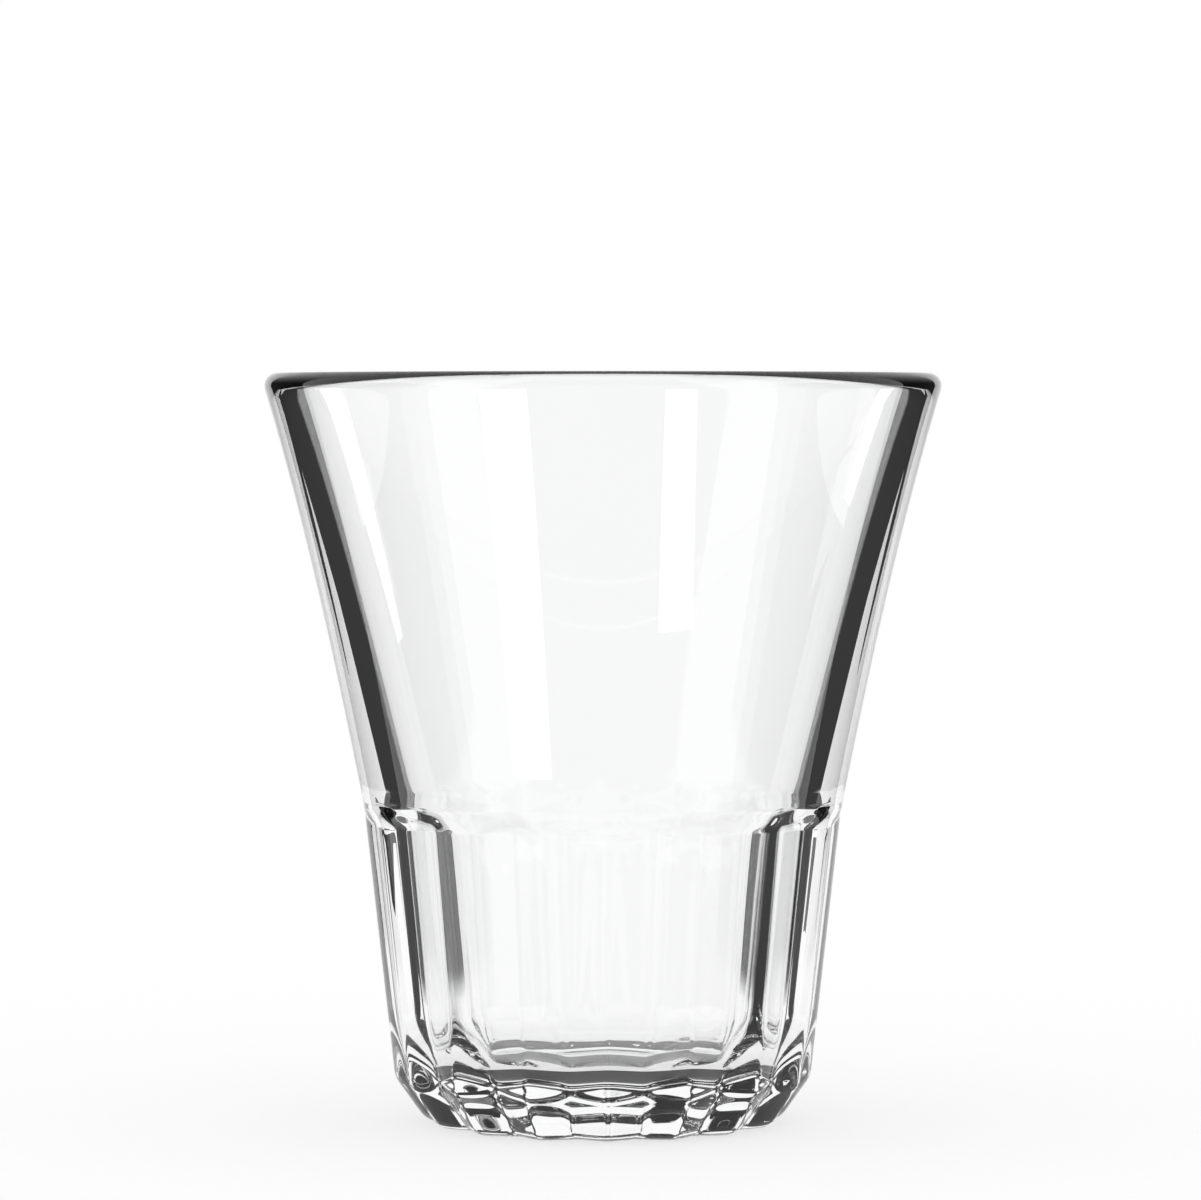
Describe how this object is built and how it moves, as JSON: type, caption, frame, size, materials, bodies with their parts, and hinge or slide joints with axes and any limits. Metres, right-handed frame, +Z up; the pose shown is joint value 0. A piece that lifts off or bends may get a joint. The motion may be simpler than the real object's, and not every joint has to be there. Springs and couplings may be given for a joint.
{
  "type": "rocks glass",
  "caption": "Clear rocks glass with a smooth flared upper wall, a fluted lower body, a thick base and a scalloped foot, for serving short drinks",
  "frame": {"origin": "On the ground, under the middle of the foot", "axes": "+Z is up, along the glass's axis. -Y is the side the picture shows, with a ridge between two flutes on it"},
  "size_m": [0.09, 0.09, 0.1],
  "materials": {
    "clear_glass": "polished clear"
  },
  "bodies": {
    "root": {"tumbler": "clear_glass"}
  },
  "joints": []
}
